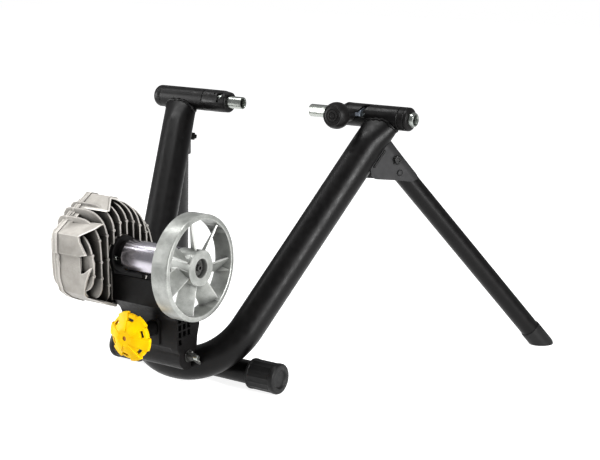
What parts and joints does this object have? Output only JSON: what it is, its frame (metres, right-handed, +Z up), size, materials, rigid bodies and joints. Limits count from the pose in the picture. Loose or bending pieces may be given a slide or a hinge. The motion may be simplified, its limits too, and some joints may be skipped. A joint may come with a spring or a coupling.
{
  "type": "bicycle trainer",
  "caption": "Folding bicycle trainer: U-shaped tube frame, axle clamps, finned fluid housing, roller and bladed flywheel.",
  "frame": {"origin": "on the floor, under the middle of the object's length and depth", "axes": "+X along the wheel axle towards the flywheel and the lever, +Y from the tension knob towards the legs, +Z up"},
  "size_m": [0.795, 0.626, 0.4111],
  "materials": {
    "black_paint": "satin powder coat",
    "bracket_paint": "satin paint",
    "black_plastic": "matte moulded",
    "black_rubber": "matte",
    "yellow_plastic": "gloss moulded",
    "cast_aluminium": "as cast, satin",
    "flywheel_metal": "machined and plated, satin",
    "polished_steel": "polished",
    "zinc_plate": "zinc plated",
    "dark_steel": "black oxide"
  },
  "bodies": {
    "frame": {"u_frame_tube": "black_paint", "clamp_tube_left": "black_paint", "clamp_tube_right": "black_paint", "clamp_nose_left": "black_paint", "clamp_nose_right": "black_paint", "clamp_cap_left": "black_plastic", "clamp_cap_right": "black_plastic", "crossbar_tube": "black_paint", "crossbar_cap_left": "black_rubber", "crossbar_cap_right": "black_rubber", "leg_bracket_left": "bracket_paint", "leg_bracket_right": "bracket_paint", "leg_bolt_left": "dark_steel", "leg_bolt_right": "dark_steel", "leg_nut_left": "dark_steel", "leg_nut_right": "dark_steel", "pivot_bracket": "black_paint", "pivot_bolt": "zinc_plate", "pivot_washer": "zinc_plate", "wing_nut": "dark_steel", "rod_pin": "dark_steel"},
    "left_cone": {"axle_cone_left": "zinc_plate"},
    "right_plunger": {"axle_plunger_right": "zinc_plate", "lever_stem": "dark_steel", "lever_knob": "black_plastic"},
    "left_leg": {"leg_tube_left": "black_paint", "leg_foot_cap_left": "black_rubber"},
    "right_leg": {"leg_tube_right": "black_paint", "leg_foot_cap_right": "black_rubber"},
    "resistance_unit": {"yoke": "black_plastic", "bearing_outer": "dark_steel", "bearing_inner": "dark_steel", "housing_body": "cast_aluminium", "housing_cover": "cast_aluminium", "cover_screw_1": "zinc_plate", "cover_screw_2": "zinc_plate", "cover_screw_3": "zinc_plate", "cover_screw_4": "zinc_plate", "unit_screw_1": "zinc_plate", "unit_screw_2": "zinc_plate", "unit_screw_3": "zinc_plate"},
    "rotor": {"roller": "polished_steel", "roller_shaft": "polished_steel", "flywheel": "flywheel_metal", "flywheel_bolt": "zinc_plate", "impeller": "cast_aluminium"},
    "tension_rod": {"tension_rod": "zinc_plate"},
    "tension_knob": {"tension_knob": "yellow_plastic"}
  },
  "joints": [
    {"name": "left_leg_fold", "type": "hinge", "parent": "frame", "child": "left_leg", "pos_m": [-0.20697, 0.08851, 0.32063], "axis": [-0.845, -0.5213, 0.1193], "range_deg": [0, 70]},
    {"name": "right_leg_fold", "type": "hinge", "parent": "frame", "child": "right_leg", "pos_m": [0.20697, 0.08851, 0.32063], "axis": [-0.845, 0.5213, -0.1193], "range_deg": [0, 70]},
    {"name": "left_cone_slide", "type": "slide", "parent": "frame", "child": "left_cone", "axis": [1, 0, 0], "range_m": [0, 0.008]},
    {"name": "right_cone_slide", "type": "slide", "parent": "frame", "child": "right_plunger", "axis": [1, 0, 0], "range_m": [0, 0.011]},
    {"name": "unit_swing", "type": "hinge", "parent": "frame", "child": "resistance_unit", "pos_m": [0, -0.21396, 0.0592], "axis": [1, 0, 0], "range_deg": [-8, 5]},
    {"name": "rotor_spin", "type": "hinge", "parent": "resistance_unit", "child": "rotor", "pos_m": [0, -0.23596, 0.2033], "axis": [1, 0, 0], "continuous": true},
    {"name": "rod_tilt", "type": "hinge", "parent": "frame", "child": "tension_rod", "pos_m": [0, -0.20126, 0.101], "axis": [1, 0, 0], "range_deg": [-6.6, 4.2]},
    {"name": "knob_turn", "type": "hinge", "parent": "resistance_unit", "child": "tension_knob", "pos_m": [0, -0.27576, 0.101], "axis": [0, 1, 0], "range_deg": [-660, 1050]}
  ],
  "couplings": [
    {"joint": "rod_tilt", "follows": "unit_swing", "ratio": 0.8},
    {"joint": "knob_turn", "follows": "unit_swing", "ratio": -131}
  ]
}
